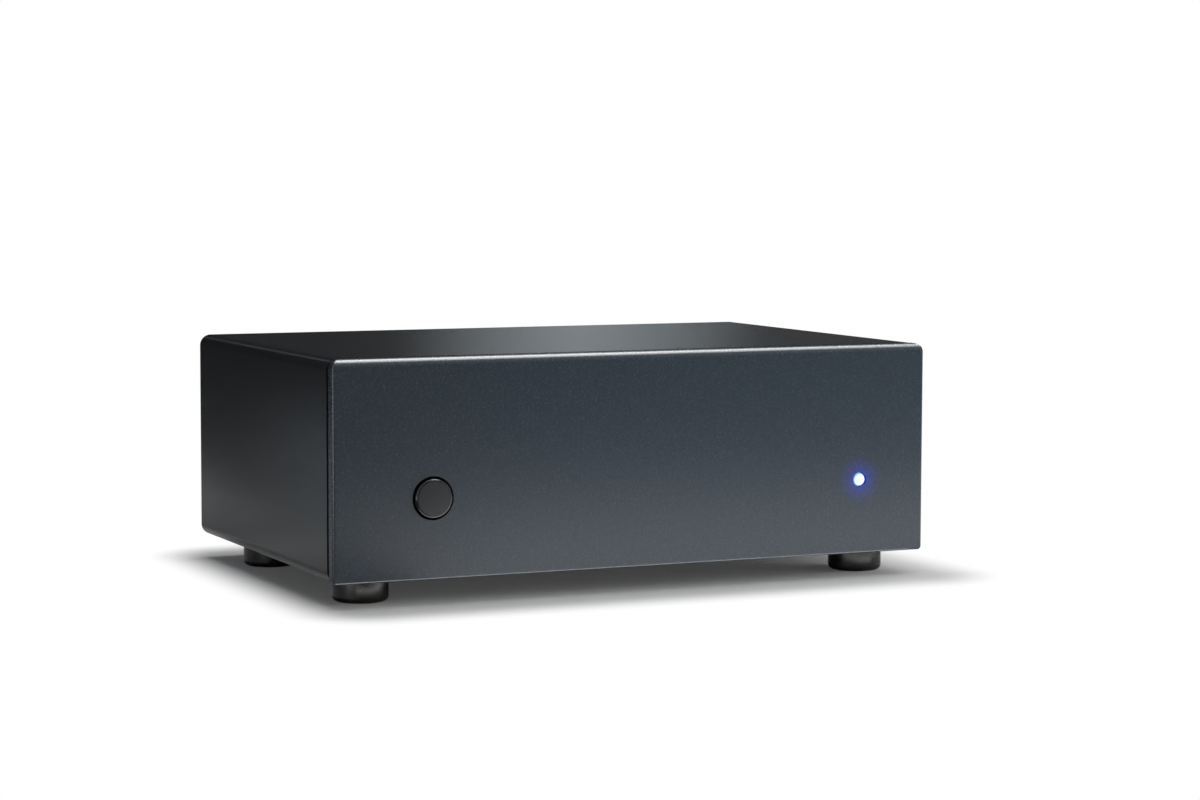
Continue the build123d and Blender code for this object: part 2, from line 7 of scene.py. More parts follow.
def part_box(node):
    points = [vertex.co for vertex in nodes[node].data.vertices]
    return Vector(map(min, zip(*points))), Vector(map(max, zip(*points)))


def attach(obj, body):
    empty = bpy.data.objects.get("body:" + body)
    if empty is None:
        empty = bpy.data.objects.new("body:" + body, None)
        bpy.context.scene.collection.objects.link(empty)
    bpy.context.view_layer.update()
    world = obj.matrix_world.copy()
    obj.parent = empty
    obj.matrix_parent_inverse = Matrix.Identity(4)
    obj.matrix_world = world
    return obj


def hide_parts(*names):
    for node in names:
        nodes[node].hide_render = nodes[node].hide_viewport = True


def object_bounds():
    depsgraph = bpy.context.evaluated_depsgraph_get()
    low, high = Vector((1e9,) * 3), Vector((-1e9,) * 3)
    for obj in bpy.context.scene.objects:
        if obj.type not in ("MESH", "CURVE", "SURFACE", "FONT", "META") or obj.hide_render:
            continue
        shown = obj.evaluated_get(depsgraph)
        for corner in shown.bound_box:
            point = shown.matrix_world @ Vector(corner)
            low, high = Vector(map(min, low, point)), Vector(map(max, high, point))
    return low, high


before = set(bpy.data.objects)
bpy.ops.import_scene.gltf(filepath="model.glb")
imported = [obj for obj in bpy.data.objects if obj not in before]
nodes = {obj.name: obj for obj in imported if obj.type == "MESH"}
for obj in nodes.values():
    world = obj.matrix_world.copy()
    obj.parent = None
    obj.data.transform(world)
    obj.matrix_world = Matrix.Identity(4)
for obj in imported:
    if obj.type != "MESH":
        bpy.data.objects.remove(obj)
cadBox = [list(corner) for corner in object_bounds()]
mm = 0.001
print("frame loaded,", len(nodes), "nodes")


class Wire:
    # One shader socket. Arithmetic on it adds Math nodes, node() adds any other node.
    def __init__(self, tree, socket=None):
        self.tree = tree
        self.socket = socket

    def node(self, kind, settings=None, sockets=None, out=0):
        # The kind is a node's type without its first word
        made = self.tree.nodes.new("ShaderNode" + kind)
        for name, value in (settings or {}).items():
            setattr(made, name, value)
        for name, value in (sockets or {}).items():
            feed(self.tree, made.inputs[name], value)
        return Wire(self.tree, made.outputs[out])

    def math(self, operation, *values):
        return self.node("Math", {"operation": operation}, dict(enumerate(values)))

    def vector(self, operation, first, second, out=0):
        return self.node("VectorMath", {"operation": operation},
                         {0: first, 1: second}, out)

    def __add__(self, other):
        return self.math("ADD", self, other)

    def __radd__(self, other):
        return self.math("ADD", other, self)

    def __sub__(self, other):
        return self.math("SUBTRACT", self, other)

    def __rsub__(self, other):
        return self.math("SUBTRACT", other, self)

    def __mul__(self, other):
        return self.math("MULTIPLY", self, other)

    def __rmul__(self, other):
        return self.math("MULTIPLY", other, self)

    def __abs__(self):
        return self.math("ABSOLUTE", self)

    def over(self, level):
        return self.math("GREATER_THAN", self, level)

    def under(self, level):
        return self.math("LESS_THAN", self, level)

    def eased(self, low, high):
        # 0 up to low, 1 from high, smooth between
        return self.node("MapRange", {"interpolation_type": "SMOOTHSTEP"},
                         {"Value": self, "From Min": low, "From Max": high})

    def swing(self, spread):
        # A mask's 0 to 1 as this spread about zero
        return (self - 0.5) * spread

    def paint(self, low, high):
        # This mask mixes two colours
        return self.node("Mix", {"data_type": "RGBA"}, {0: self, 6: low, 7: high}, 2)


def feed(tree, socket, value):
    if isinstance(value, Wire):
        tree.links.new(value.socket, socket)
    else:
        socket.default_value = value


def rgb(red, green, blue):
    return (red, green, blue, 1.0)


noiseLump = 0.7   # metres across a lump of a noise texture of scale 1


class Finish:
    # A material, its Principled shader, and the shaded point's place in metres
    def __init__(self, name):
        self.material = bpy.data.materials.new(name)
        self.material.use_nodes = True
        self.tree = self.material.node_tree
        self.shader = self.tree.nodes["Principled BSDF"]
        self.start = Wire(self.tree)
        self.place = self.start.node("TexCoord", out="Object")
        self.x, self.y, self.z = [
            self.start.node("SeparateXYZ", None, {0: self.place}, axis)
            for axis in range(3)]

    def noise(self, size, detail=2.0, stretch=(1.0, 1.0, 1.0)):
        # Soft grain with lumps about this size across
        spread = self.start.vector("MULTIPLY", self.place, stretch)
        return self.start.node("TexNoise", None,
                               {"Vector": spread, "Scale": noiseLump / size, "Detail": detail})

    def cells(self, size):
        # A random value for each cell of about this size
        cell = self.start.node("TexVoronoi", None,
                               {"Vector": self.place, "Scale": 1 / size}, 1)
        return self.start.node("SeparateColor", None, {0: cell})

    def reach(self, axis, centre):
        # Distance from a line along an axis through the centre
        mask = [0.0 if letter == axis else 1.0 for letter in "xyz"]
        point = [value * keep for value, keep in zip(centre, mask)]
        flat = self.start.vector("MULTIPLY", self.place, mask)
        return self.start.vector("DISTANCE", flat, point, 1)

    def bump(self, height):
        # Height in mm
        return self.start.node("Bump", None,
                               {"Height": height, "Strength": 1.0, "Distance": mm})

    def done(self, **sockets):
        # Socket names with underscores for their spaces
        for name, value in sockets.items():
            feed(self.tree, self.shader.inputs[name.replace("_", " ")], value)
        return self.material


# The indicator light on the front panel
lampLow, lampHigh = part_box("power_light")
lampCentre = (lampLow + lampHigh) / 2

# Heights of relief are in mm here and in the other finishes
coatValues = {
    "deep": rgb(0.0225, 0.0345, 0.0475), "pale": rgb(0.0275, 0.0405, 0.0550),
    "toneSpan": (0.33, 0.67), "grain": 0.26 * mm, "grainDetail": 3.0, "grainHeight": 0.0053,
    "peel": 1.1 * mm, "peelDetail": 1.0, "peelHeight": 0.0035, "peelShare": 0.18,
    "fleck": rgb(0.064, 0.088, 0.112), "fleckShare": 0.975, "fleckSize": 0.14 * mm,
    "fleckTint": 0.55, "rough": 0.27, "roughSpread": 0.04,
    # Painted halo of the indicator's light on the panel: its colour, full inside the inner radius,
    # gone past the outer
    "paintedHalo": rgb(0.0, 0.006, 0.22), "paintedHaloInner": 0.4 * mm, "paintedHaloOuter": 7.0 * mm,
}
# The cover takes the panel's coat painted darker: painted shade for the dim light on its top and
# sides
shadedCoverValues = dict(coatValues, deep=rgb(0.011, 0.0137, 0.0163), pale=rgb(0.019, 0.0223, 0.0267),
                   fleck=rgb(0.058, 0.069, 0.084), grainHeight=0.009, peelHeight=0.013,
                   rough=0.23)
trayValues = dict(coatValues, deep=rgb(0.026, 0.032, 0.040), pale=rgb(0.036, 0.043, 0.052),
                  rough=0.48, fleckShare=0.985)


def powderCoat(name, values, paintedLampHalo=False):
    # Grain over a softer orange peel, with fine pale flecks; on the front panel, also a painted
    # halo of the indicator's light
    coat = Finish(name)
    grain = coat.noise(values["grain"], values["grainDetail"])
    peel = coat.noise(values["peel"], values["peelDetail"])
    mask = (grain + (peel - grain) * values["peelShare"]).eased(*values["toneSpan"])
    fleck = coat.cells(values["fleckSize"]).over(values["fleckShare"]) * values["fleckTint"]
    sockets = {
        "Base_Color": fleck.paint(mask.paint(values["deep"], values["pale"]), values["fleck"]),
        "Roughness": values["rough"] + grain.swing(values["roughSpread"]),
        "Normal": coat.bump(grain * values["grainHeight"] + peel * values["peelHeight"])}
    if paintedLampHalo:
        # Painted light: the paint round the indicator glows by itself, fading with distance from it
        spread = coat.reach("y", lampCentre).eased(values["paintedHaloOuter"], values["paintedHaloInner"])
        sockets["Emission_Color"] = (spread * spread).paint(rgb(0, 0, 0), values["paintedHalo"])
        sockets["Emission_Strength"] = 1.0
    return coat.done(**sockets)


rubberValues = {
    "dark": rgb(0.016, 0.0135, 0.0115), "light": rgb(0.024, 0.0205, 0.018),
    "cloud": 2.5 * mm, "cloudSpan": (0.35, 0.7), "cloudRough": 0.2,
    "grain": 0.16 * mm, "grainDetail": 3.0, "grainHeight": 0.008,
    "dust": rgb(0.060, 0.057, 0.052), "dustTop": 0.9 * mm, "dustSize": 0.6 * mm,
    "dustSpan": (0.4, 0.8), "dustTint": 0.6, "dustRough": 0.2, "rough": 0.29,
}


def mouldedRubber(name, values):
    # Cloudy dark rubber, with dust on the lowest edge
    rubber = Finish(name)
    grain = rubber.noise(values["grain"], values["grainDetail"])
    cloud = rubber.noise(values["cloud"])
    speck = rubber.noise(values["dustSize"]).eased(*values["dustSpan"])
    dust = rubber.z.eased(values["dustTop"], 0.0) * speck
    tone = cloud.eased(*values["cloudSpan"]).paint(values["dark"], values["light"])
    rough = values["rough"] + dust * values["dustRough"] + cloud.swing(values["cloudRough"])
    return rubber.done(Base_Color=(dust * values["dustTint"]).paint(tone, values["dust"]),
                       Roughness=rough, Normal=rubber.bump(grain * values["grainHeight"]))


buttonLow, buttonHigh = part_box("power_button")
buttonCentre = (buttonLow + buttonHigh) / 2
blackPlastic = {
    "dark": rgb(0.012, 0.012, 0.013), "light": rgb(0.024, 0.024, 0.025), "gloss": 0.5,
    "cloud": 3.0 * mm, "cloudDetail": 1.0, "cloudSpan": (0.3, 0.7),
    "grain": 0.12 * mm, "grainHeight": 0.006, "rough": 0.36, "roughSpread": 0.12,
}
plasticValues = {
    "blackPlastic": blackPlastic,
    "whitePlastic": dict(blackPlastic, dark=rgb(0.70, 0.69, 0.66), light=rgb(0.80, 0.79, 0.76),
                         grain=0.4 * mm, grainHeight=0.002, rough=0.24),
    "redPlastic": dict(blackPlastic, dark=rgb(0.42, 0.012, 0.010), light=rgb(0.52, 0.022, 0.016),
                       grain=0.4 * mm, grainHeight=0.002, rough=0.24),
    "filmCase": dict(blackPlastic, dark=rgb(0.42, 0.075, 0.022), light=rgb(0.50, 0.10, 0.035),
                     grain=0.5 * mm, grainHeight=0.004, rough=0.22),
    "buttonPlastic": dict(blackPlastic, dark=rgb(0.0050, 0.0064, 0.0094),
                          light=rgb(0.0080, 0.0100, 0.0140), gloss=0.45, cloud=2.0 * mm,
                          grain=0.14 * mm, grainHeight=0.003, rough=0.38, roughSpread=0.06,
                          rimRough=0.20, rimSpan=(3.3 * mm, 3.7 * mm)),
}


def mouldedPlastic(name, values):
    # Cloudy colour under a fine grain; the button's rounded rim is smoother than its face
    plastic = Finish(name)
    grain = plastic.noise(values["grain"])
    cloud = plastic.noise(values["cloud"], values["cloudDetail"]).eased(*values["cloudSpan"])
    rough = values["rough"]
    if "rimSpan" in values:
        rim = plastic.reach("y", buttonCentre).eased(*values["rimSpan"])
        rough = rough + rim * (values["rimRough"] - rough)
    return plastic.done(Base_Color=cloud.paint(values["dark"], values["light"]),
                        Roughness=rough + grain.swing(values["roughSpread"]),
                        Specular_IOR_Level=values["gloss"],
                        Normal=plastic.bump(grain * values["grainHeight"]))


goldPlate = {
    "dark": rgb(0.74, 0.50, 0.19), "light": rgb(0.86, 0.63, 0.28),
    "cloud": 1.6 * mm, "cloudSpan": (0.3, 0.7), "rough": 0.20, "roughSpread": 0.12,
    "line": 0.35 * mm, "lineStretch": (1.0, 14.0, 1.0), "lineHeight": 0.0025,
}
metalValues = {
    "goldPlate": goldPlate,
    "turnedBrass": dict(goldPlate, dark=rgb(0.58, 0.42, 0.17), light=rgb(0.76, 0.58, 0.27),
                        rough=0.26, roughSpread=0.16, lineHeight=0.003),
    "zincSteel": dict(goldPlate, dark=rgb(0.42, 0.42, 0.41), light=rgb(0.62, 0.62, 0.60),
                      rough=0.30, roughSpread=0.22, lineStretch=(1.0, 1.0, 1.0),
                      lineHeight=0.004),
}


def platedMetal(name, values):
    # Cloudy plating over fine turning lines
    metal = Finish(name)
    cloud = metal.noise(values["cloud"])
    lines = metal.noise(values["line"], stretch=values["lineStretch"])
    tone = cloud.eased(*values["cloudSpan"]).paint(values["dark"], values["light"])
    return metal.done(Base_Color=tone, Metallic=1.0,
                      Roughness=values["rough"] + cloud.swing(values["roughSpread"]),
                      Normal=metal.bump(lines * values["lineHeight"]))


lensValues = {
    "core": rgb(0.91, 0.93, 0.97), "middle": rgb(0.42, 0.74, 1.0), "rim": rgb(0.06, 0.17, 0.50),
    "coreSpan": (0.75 * mm, 1.15 * mm), "rimSpan": (1.0 * mm, 1.5 * mm), "strength": 1.0,
    "body": rgb(0.5, 0.6, 0.75), "rough": 0.12, "grain": 0.4 * mm, "roughSpread": 0.06,
}


def lampLens(name, values):
    # Lit lens: white core, blue towards the rim
    lens = Finish(name)
    outward = lens.reach("y", lampCentre)
    inner = outward.eased(*values["coreSpan"]).paint(values["core"], values["middle"])
    rough = values["rough"] + lens.noise(values["grain"]) * values["roughSpread"]
    return lens.done(Base_Color=values["body"], Roughness=rough,
                     Emission_Color=outward.eased(*values["rimSpan"]).paint(inner, values["rim"]),
                     Emission_Strength=values["strength"])


tinned = rgb(0.60, 0.60, 0.58)
boardValues = {
    "mask": rgb(0.006, 0.075, 0.030), "track": rgb(0.015, 0.130, 0.052),
    "hole": rgb(0.01, 0.01, 0.01), "pitch": 2.54 * mm, "padRadius": 0.62 * mm,
    "holeRadius": 0.3 * mm, "emptyShare": 0.62, "trackPitches": 3, "trackWidth": 0.10,
    "trackDisorder": 0.55, "trackHeight": 0.02, "padHeight": 0.03, "rough": 0.30,
    "grain": 0.5 * mm, "roughSpread": 0.12,
}


def circuitBoard(name, values):
    # Solder mask over wandering copper tracks, with tinned pads on a square grid
    board = Finish(name)
    pitch = values["pitch"]
    snapped = board.start.vector("SNAP", board.place, (pitch, pitch, 1.0))
    offset = board.start.vector("SUBTRACT", board.place, snapped)
    flat = board.start.vector("MULTIPLY", offset, (1, 1, 0))
    fromPad = board.start.vector("DISTANCE", flat, (pitch / 2, pitch / 2, 0), 1)
    chance = board.start.node("TexWhiteNoise", None, {"Vector": snapped})
    here = chance.over(values["emptyShare"])
    pad = fromPad.under(values["padRadius"]) * here
    hole = fromPad.under(values["holeRadius"]) * here
    across = board.start.node("TexVoronoi",
                              {"distance": "MANHATTAN", "feature": "DISTANCE_TO_EDGE"},
                              {"Vector": board.place, "Scale": 1 / (values["trackPitches"] * pitch),
                               "Randomness": values["trackDisorder"]})
    track = across.under(values["trackWidth"])
    tone = pad.paint(track.paint(values["mask"], values["track"]), tinned)
    rough = values["rough"] + board.noise(values["grain"]) * values["roughSpread"]
    relief = track * values["trackHeight"] + pad * values["padHeight"]
    return board.done(Base_Color=hole.paint(tone, values["hole"]), Metallic=pad * (1 - hole),
                      Roughness=rough, Normal=board.bump(relief))


canValues = {
    "sleeve": rgb(0.010, 0.014, 0.040), "stripe": rgb(0.42, 0.44, 0.46), "stripeStart": 0.80,
    "metal": rgb(0.62, 0.62, 0.61), "topDepth": 0.25 * mm, "lip": 1.0 * mm,
    "groove": rgb(0.18, 0.18, 0.18), "ventWidth": 0.4 * mm, "ventLength": 3.2 * mm,
    "ventDepth": 0.05, "rough": 0.26, "cloud": 0.8 * mm, "roughSpread": 0.14,
    "grain": 0.5 * mm, "grainHeight": 0.006,
}


def canCapacitor(name, node, values):
    # Printed sleeve with a pale stripe down one side, bare aluminium top with a pressed cross
    low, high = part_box(node)
    centre = (low + high) / 2
    radius = (high.x - low.x) / 2
    can = Finish(name)
    outward = can.reach("z", centre)
    top = can.z.over(high.z - values["topDepth"]) * outward.under(radius - values["lip"])
    stripe = (can.x - centre.x).over(radius * values["stripeStart"])
    arms = [abs(wire - middle).under(values["ventWidth"] / 2)
            for wire, middle in ((can.x, centre.x), (can.y, centre.y))]
    vent = can.start.math("MAXIMUM", *arms) * top * outward.under(values["ventLength"])
    tone = top.paint(stripe.paint(values["sleeve"], values["stripe"]), values["metal"])
    relief = can.noise(values["grain"]) * values["grainHeight"] - vent * values["ventDepth"]
    return can.done(Base_Color=vent.paint(tone, values["groove"]), Metallic=top,
                    Roughness=values["rough"] + can.noise(values["cloud"]) * values["roughSpread"],
                    Normal=can.bump(relief))


packageValues = {
    "chip": rgb(0.014, 0.014, 0.015), "regulator": rgb(0.016, 0.016, 0.017), "paler": 1.35,
    "cloud": 2.0 * mm, "cloudSpan": (0.3, 0.7), "grain": 0.15 * mm, "grainHeight": 0.006,
    "rough": 0.45, "roughSpread": 0.1, "leadSmoother": 0.15, "leadLength": 0.32 * mm,
    "tabDepth": 1.35 * mm, "tabHeight": 12.0 * mm, "legHeight": 3.0 * mm,
}


def leadedPart(name, kind, leadMask, values):
    # Moulded body with tinned leads; the mask says where the leads are
    part = Finish(name)
    leads = leadMask(part)
    grain = part.noise(values["grain"])
    cloud = part.noise(values["cloud"]).eased(*values["cloudSpan"])
    body = values[kind]
    tone = cloud.paint(body, rgb(*[values["paler"] * value for value in body[:3]]))
    rough = values["rough"] - leads * values["leadSmoother"]
    return part.done(Base_Color=leads.paint(tone, tinned), Metallic=leads,
                     Roughness=rough + grain.swing(values["roughSpread"]),
                     Normal=part.bump(grain * values["grainHeight"]))


def chipLeads(node, values):
    low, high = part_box(node)
    middle = (low.x + high.x) / 2
    edge = (high.x - low.x) / 2 - values["leadLength"]
    return lambda part: abs(part.x - middle).over(edge)


def regulatorMetal(part):
    # The tab behind the package, and the three legs below it
    low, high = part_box("voltage_regulator")
    behind = part.y.over(high.y - packageValues["tabDepth"])
    tab = behind * part.z.over(low.z + packageValues["tabHeight"])
    return tab + part.z.under(low.z + packageValues["legHeight"])


resistorValues = {
    "dark": rgb(0.10, 0.22, 0.34), "light": rgb(0.12, 0.26, 0.38), "cloud": 2.0 * mm,
    "cloudSpan": (0.35, 0.65), "spacing": 18.0 * mm, "leadSpan": 10.2 * mm,
    "bodySpan": 6.54 * mm, "ringWidth": 0.5 * mm,
    "rings": [(-2.2 * mm, rgb(0.20, 0.07, 0.02)), (-1.2 * mm, rgb(0.012, 0.012, 0.012)),
              (-0.2 * mm, rgb(0.45, 0.03, 0.02)), (2.2 * mm, rgb(0.45, 0.30, 0.06))],
    "rough": 0.30, "smear": 0.4 * mm, "roughSpread": 0.1, "grain": 0.5 * mm, "grainHeight": 0.01,
}


def resistorPaint(name, values):
    # Lacquered bodies with colour rings along X, one every spacing, and tinned wires at the ends
    part = Finish(name)
    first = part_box("resistors")[0].x
    along = part.start.math("FLOORED_MODULO", part.x - first, values["spacing"])
    along = along - values["leadSpan"] / 2
    tone = part.noise(values["cloud"]).eased(*values["cloudSpan"])
    tone = tone.paint(values["dark"], values["light"])
    for place, colour in values["rings"]:
        tone = abs(along - place).under(values["ringWidth"] / 2).paint(tone, colour)
    leads = abs(along).over(values["bodySpan"] / 2)
    rough = values["rough"] + part.noise(values["smear"]) * values["roughSpread"]
    return part.done(Base_Color=leads.paint(tone, tinned), Metallic=leads, Roughness=rough,
                     Normal=part.bump(part.noise(values["grain"]) * values["grainHeight"]))


finishes = {
    "coat": powderCoat("powderCoat", shadedCoverValues),
    "panelCoat": powderCoat("powderCoatPanel", coatValues, paintedLampHalo=True),
    "tray": powderCoat("trayCoat", trayValues),
    "rubber": mouldedRubber("footRubber", rubberValues),
    "lens": lampLens("lampLens", lensValues),
    "board": circuitBoard("boardLaminate", boardValues),
    "resistor": resistorPaint("resistorLacquer", resistorValues),
    "regulator": leadedPart("regulatorPackage", "regulator", regulatorMetal, packageValues),
}
finishes.update({name: mouldedPlastic(name, values) for name, values in plasticValues.items()})
finishes.update({name: platedMetal(name, values) for name, values in metalValues.items()})
print("finishes made,", len(finishes))


def dress(name, material):
    # The CAD node keeps its shape and takes this finish
    nodes[name].data.materials.clear()
    nodes[name].data.materials.append(material)


cadFinishes = {
    "coat": ["top_cover"], "panelCoat": ["front_panel"], "tray": ["chassis_tray"],
    "board": ["main_board"], "zincSteel": ["board_standoffs", "gain_switch_frame"],
    "filmCase": ["film_capacitor_left", "film_capacitor_right"],
    "regulator": ["voltage_regulator"], "resistor": ["resistors"],
    "blackPlastic": ["power_switch", "light_holder", "input_socket_body", "output_socket_body",
                     "power_inlet", "gain_switch_base", "gain_switch_knob"],
}
for finish, names in cadFinishes.items():
    for name in names:
        dress(name, finishes[finish])
for side in ("left", "right"):
    node = "supply_capacitor_" + side
    dress(node, canCapacitor("canSleeve." + side, node, canValues))
for which in ("first", "second"):
    node = "amplifier_chip_" + which
    leads = chipLeads(node, packageValues)
    dress(node, leadedPart("chipPackage." + which, "chip", leads, packageValues))
print("CAD nodes dressed")


def rounded(points, edges, steps=5):
    # A closed outline in mm, with each corner rounded to its edge radius
    points = [Vector(point) for point in points]
    outline = []
    for index, (corner, radius) in enumerate(zip(points, edges)):
        if not radius:
            outline.append(tuple(corner))
            continue
        back = (points[index - 1] - corner).normalized()
        ahead = (points[(index + 1) % len(points)] - corner).normalized()
        half = back.angle(ahead) / 2
        centre = corner + (back + ahead).normalized() * radius / sin(half)
        first = corner + back * radius / tan(half) - centre
        last = corner + ahead * radius / tan(half) - centre
        begin = atan2(first.y, first.x)
        sweep = (atan2(last.y, last.x) - begin + pi) % (2 * pi) - pi
        for step in range(steps + 1):
            angle = begin + sweep * step / steps
            outline.append((centre.x + radius * cos(angle), centre.y + radius * sin(angle)))
    return outline


def lathe(outline, sides, begin=0.0, sweep=2 * pi):
    # Turn a closed (radius, height) outline about Z, in mm; a part turn gets flat ends
    whole = sweep == 2 * pi
    stops = sides if whole else sides + 1
    verts, faces, rings = [], [], []
    for radius, height in outline:
        if not radius:
            rings.append([len(verts)] * stops)
            verts.append((0.0, 0.0, height))
            continue
        rings.append([len(verts) + side for side in range(stops)])
        for side in range(stops):
            angle = begin + sweep * side / sides
            verts.append((radius * cos(angle), radius * sin(angle), height))
    for index, ring in enumerate(rings):
        following = rings[(index + 1) % len(rings)]
        for side in range(sides):
            after = (side + 1) % stops
            face = [ring[side], ring[after], following[after], following[side]]
            face = [corner for place, corner in enumerate(face) if corner not in face[:place]]
            if len(face) > 2:
                faces.append(face)
    if not whole:
        faces.append([ring[0] for ring in rings])
        faces.append([ring[-1] for ring in reversed(rings)])
    return verts, faces


def turned(points, edges, sides, steps=5):
    # Round the corners of a (radius, height) outline and turn it
    return lathe(rounded(points, edges, steps), sides)


def loft(rings, closed=False):
    # Join rings of points in order; open lofts are capped
    count = len(rings[0])
    verts = [point for ring in rings for point in ring]
    faces = []
    for level in range(len(rings) if closed else len(rings) - 1):
        start, after = level * count, (level + 1) % len(rings) * count
        for side in range(count):
            following = (side + 1) % count
            faces.append([start + side, start + following, after + following, after + side])
    if not closed:
        faces.append(list(range(count - 1, -1, -1)))
        faces.append([len(verts) - count + side for side in range(count)])
    return verts, faces


def circle(radius, height, sides):
    # Radius and height are functions of the side
    angles = [2 * pi * side / sides for side in range(sides)]
    return [(radius(side) * cos(angle), radius(side) * sin(angle), height(side))
            for side, angle in enumerate(angles)]


def joined(*shapes):
    verts, faces = [], []
    for shapeVerts, shapeFaces in shapes:
        shift = len(verts)
        verts += shapeVerts
        faces += [[index + shift for index in face] for face in shapeFaces]
    return verts, faces


turns = {"up": Matrix(), "down": Matrix.Rotation(pi, 4, "X"),
         "back": Matrix.Rotation(-pi / 2, 4, "X"), "front": Matrix.Rotation(pi / 2, 4, "X")}


def placed(shape, where, way="up", turn=0.0):
    # Stand a shape made along +Z, in mm, on a point of the row frame, in metres
    rotation = turns[way] @ Matrix.Rotation(turn, 4, "Z")
    matrix = Matrix.Translation(where) @ rotation @ Matrix.Scale(mm, 4)
    return [tuple(matrix @ Vector(vert)) for vert in shape[0]], shape[1]


def meshOf(name, shape):
    mesh = bpy.data.meshes.new(name)
    mesh.from_pydata(shape[0], [], shape[1])
    whole = bmesh.new()
    whole.from_mesh(mesh)
    bmesh.ops.recalc_face_normals(whole, faces=whole.faces)
    whole.to_mesh(mesh)
    whole.free()
    return mesh


edgeAngle = 32.0   # degrees; edges sharper than this stay crisp


def addPiece(name, shape, body, finish, stands, sharp=edgeAngle):
    # It rides on a body and stands in for the CAD nodes it replaces
    mesh = meshOf(name, shape)
    mesh.materials.append(finishes[finish])
    mesh.shade_smooth()
    mesh.set_sharp_from_angle(angle=radians(sharp))
    piece = bpy.data.objects.new(name, mesh)
    bpy.context.scene.collection.objects.link(piece)
    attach(piece, body)
    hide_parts(*stands)


def carved(shape, *cutters):
    # Cut shapes out of a shape with boolean modifiers
    body = bpy.data.objects.new("carving", meshOf("carving", shape))
    bpy.context.scene.collection.objects.link(body)
    tools = []
    for cutter in cutters:
        tool = bpy.data.objects.new("cutter", meshOf("cutter", cutter))
        bpy.context.scene.collection.objects.link(tool)
        tools.append(tool)
        cut = body.modifiers.new("cut", "BOOLEAN")
        cut.object = tool
        cut.solver = "EXACT"
    result = body.evaluated_get(bpy.context.evaluated_depsgraph_get()).to_mesh()
    verts = [tuple(vert.co) for vert in result.vertices]
    faces = [list(polygon.vertices) for polygon in result.polygons]
    for thing in [body] + tools:
        bpy.data.objects.remove(thing)
    return verts, faces


# Depth as a share of the pitch, and how steeply the flanks rise
threadShape = {"depth": 0.58, "flank": 1.3}


def threadedRod(radius, pitch, length, tip, sides=24, levels=6):
    # A rod along Z with a helical thread, chamfered at its far end
    depth = threadShape["depth"] * pitch
    count = round(length / pitch * levels)
    rings = []
    for level in range(count + 1):
        height = length * level / count
        limit = radius - max(0.0, height - length + tip)
        ring = []
        for side in range(sides):
            phase = (height / pitch - side / sides) % 1.0
            crest = min(1.0, threadShape["flank"] * (1 - abs(2 * phase - 1)))
            across = min(limit, radius - depth * (1 - crest))
            angle = 2 * pi * side / sides
            ring.append((across * cos(angle), across * sin(angle), height))
        rings.append(ring)
    return loft(rings)


# Sizes of the cross recess are shares of the head's; each arm is longer at the top than below
screwShape = {
    "sides": 48, "domeSteps": 8, "domeFoot": 0.42, "edge": 0.12, "tip": 0.35, "turnStep": 1.3,
    "armLength": 1.15, "armWidth": 0.30, "armDepth": 0.68, "armFloor": 0.55, "armTop": 1.05,
    "armTaper": 0.25, "overcut": 0.2,
}


def crossArm(headRadius, headHeight, turn):
    # One tapered arm of a cross recess, as a cutter
    values = screwShape
    length, width = values["armLength"] * headRadius, values["armWidth"] * headRadius
    rings = []
    for height, share in ((headHeight - values["armDepth"] * headHeight, values["armFloor"]),
                          (headHeight + values["overcut"], values["armTop"])):
        x = length * share / 2
        y = width * (1 - values["armTaper"] + values["armTaper"] * share) / 2
        rings.append([(a * cos(turn) - b * sin(turn), a * sin(turn) + b * cos(turn), height)
                      for a, b in ((-x, -y), (x, -y), (x, y), (-x, y))])
    return loft(rings)


def panScrew(headRadius, headHeight, shankRadius, pitch, length):
    # Pan head on z = 0 pointing up, cross recess, threaded shank below
    start, steps, edge = [screwShape[key] for key in ("domeFoot", "domeSteps", "edge")]
    dome = [(headRadius * cos(angle), headHeight * (start + (1 - start) * sin(angle)))
            for angle in [pi / 2 * step / steps for step in range(steps)]]
    base = [(0.0, 0.0), (headRadius - edge, 0.0), (headRadius, edge)]
    head = carved(lathe(base + dome + [(0.0, headHeight)], screwShape["sides"]),
                  crossArm(headRadius, headHeight, 0), crossArm(headRadius, headHeight, pi / 2))
    shank = threadedRod(shankRadius, pitch, length, screwShape["tip"])
    flipped = [(x, -y, -z) for x, y, z in shank[0]], shank[1]
    return joined(head, flipped)


# The flat ring of each face as a share of the nut's width, the slope outside it, the bore's lip
nutShape = {"faceShare": 0.97, "slope": 30, "lip": 0.3, "sides": 72}


def hexNut(height, across, bore):
    # Hexagon with turned-down corners on both faces, and a countersunk bore
    half, lip = across / 2, nutShape["lip"]
    sides, face = nutShape["sides"], nutShape["faceShare"] * half

    def flat(side):
        return half / cos((2 * pi * side / sides) % (pi / 3) - pi / 6)

    def drop(side):
        return (flat(side) - face) * tan(radians(nutShape["slope"]))

    def ring(radius, level):
        return circle(lambda side: radius, lambda side: level, sides)

    rings = [ring(bore / 2, lip), ring(bore / 2 + lip, 0.0), ring(face, 0.0),
             circle(flat, drop, sides),
             circle(flat, lambda side: height - drop(side), sides),
             ring(face, height), ring(bore / 2 + lip, height), ring(bore / 2, height - lip)]
    return loft(rings, closed=True)


footValues = {"radius": 5.75, "height": 5.1, "recess": 3.5, "recessTop": 2.8, "hole": 1.7,
              "edges": (0.15, 0.3, 0.35, 1.1, 0.3, 0), "sides": 72}


def rubberFoot(radius, height, recess, recessTop, hole, edges, sides):
    # Round foot with a recess for its screw's head
    return turned([(hole, recessTop), (recess, recessTop), (recess, 0.0), (radius, 0.0),
                   (radius, height), (hole, height)], edges, sides)


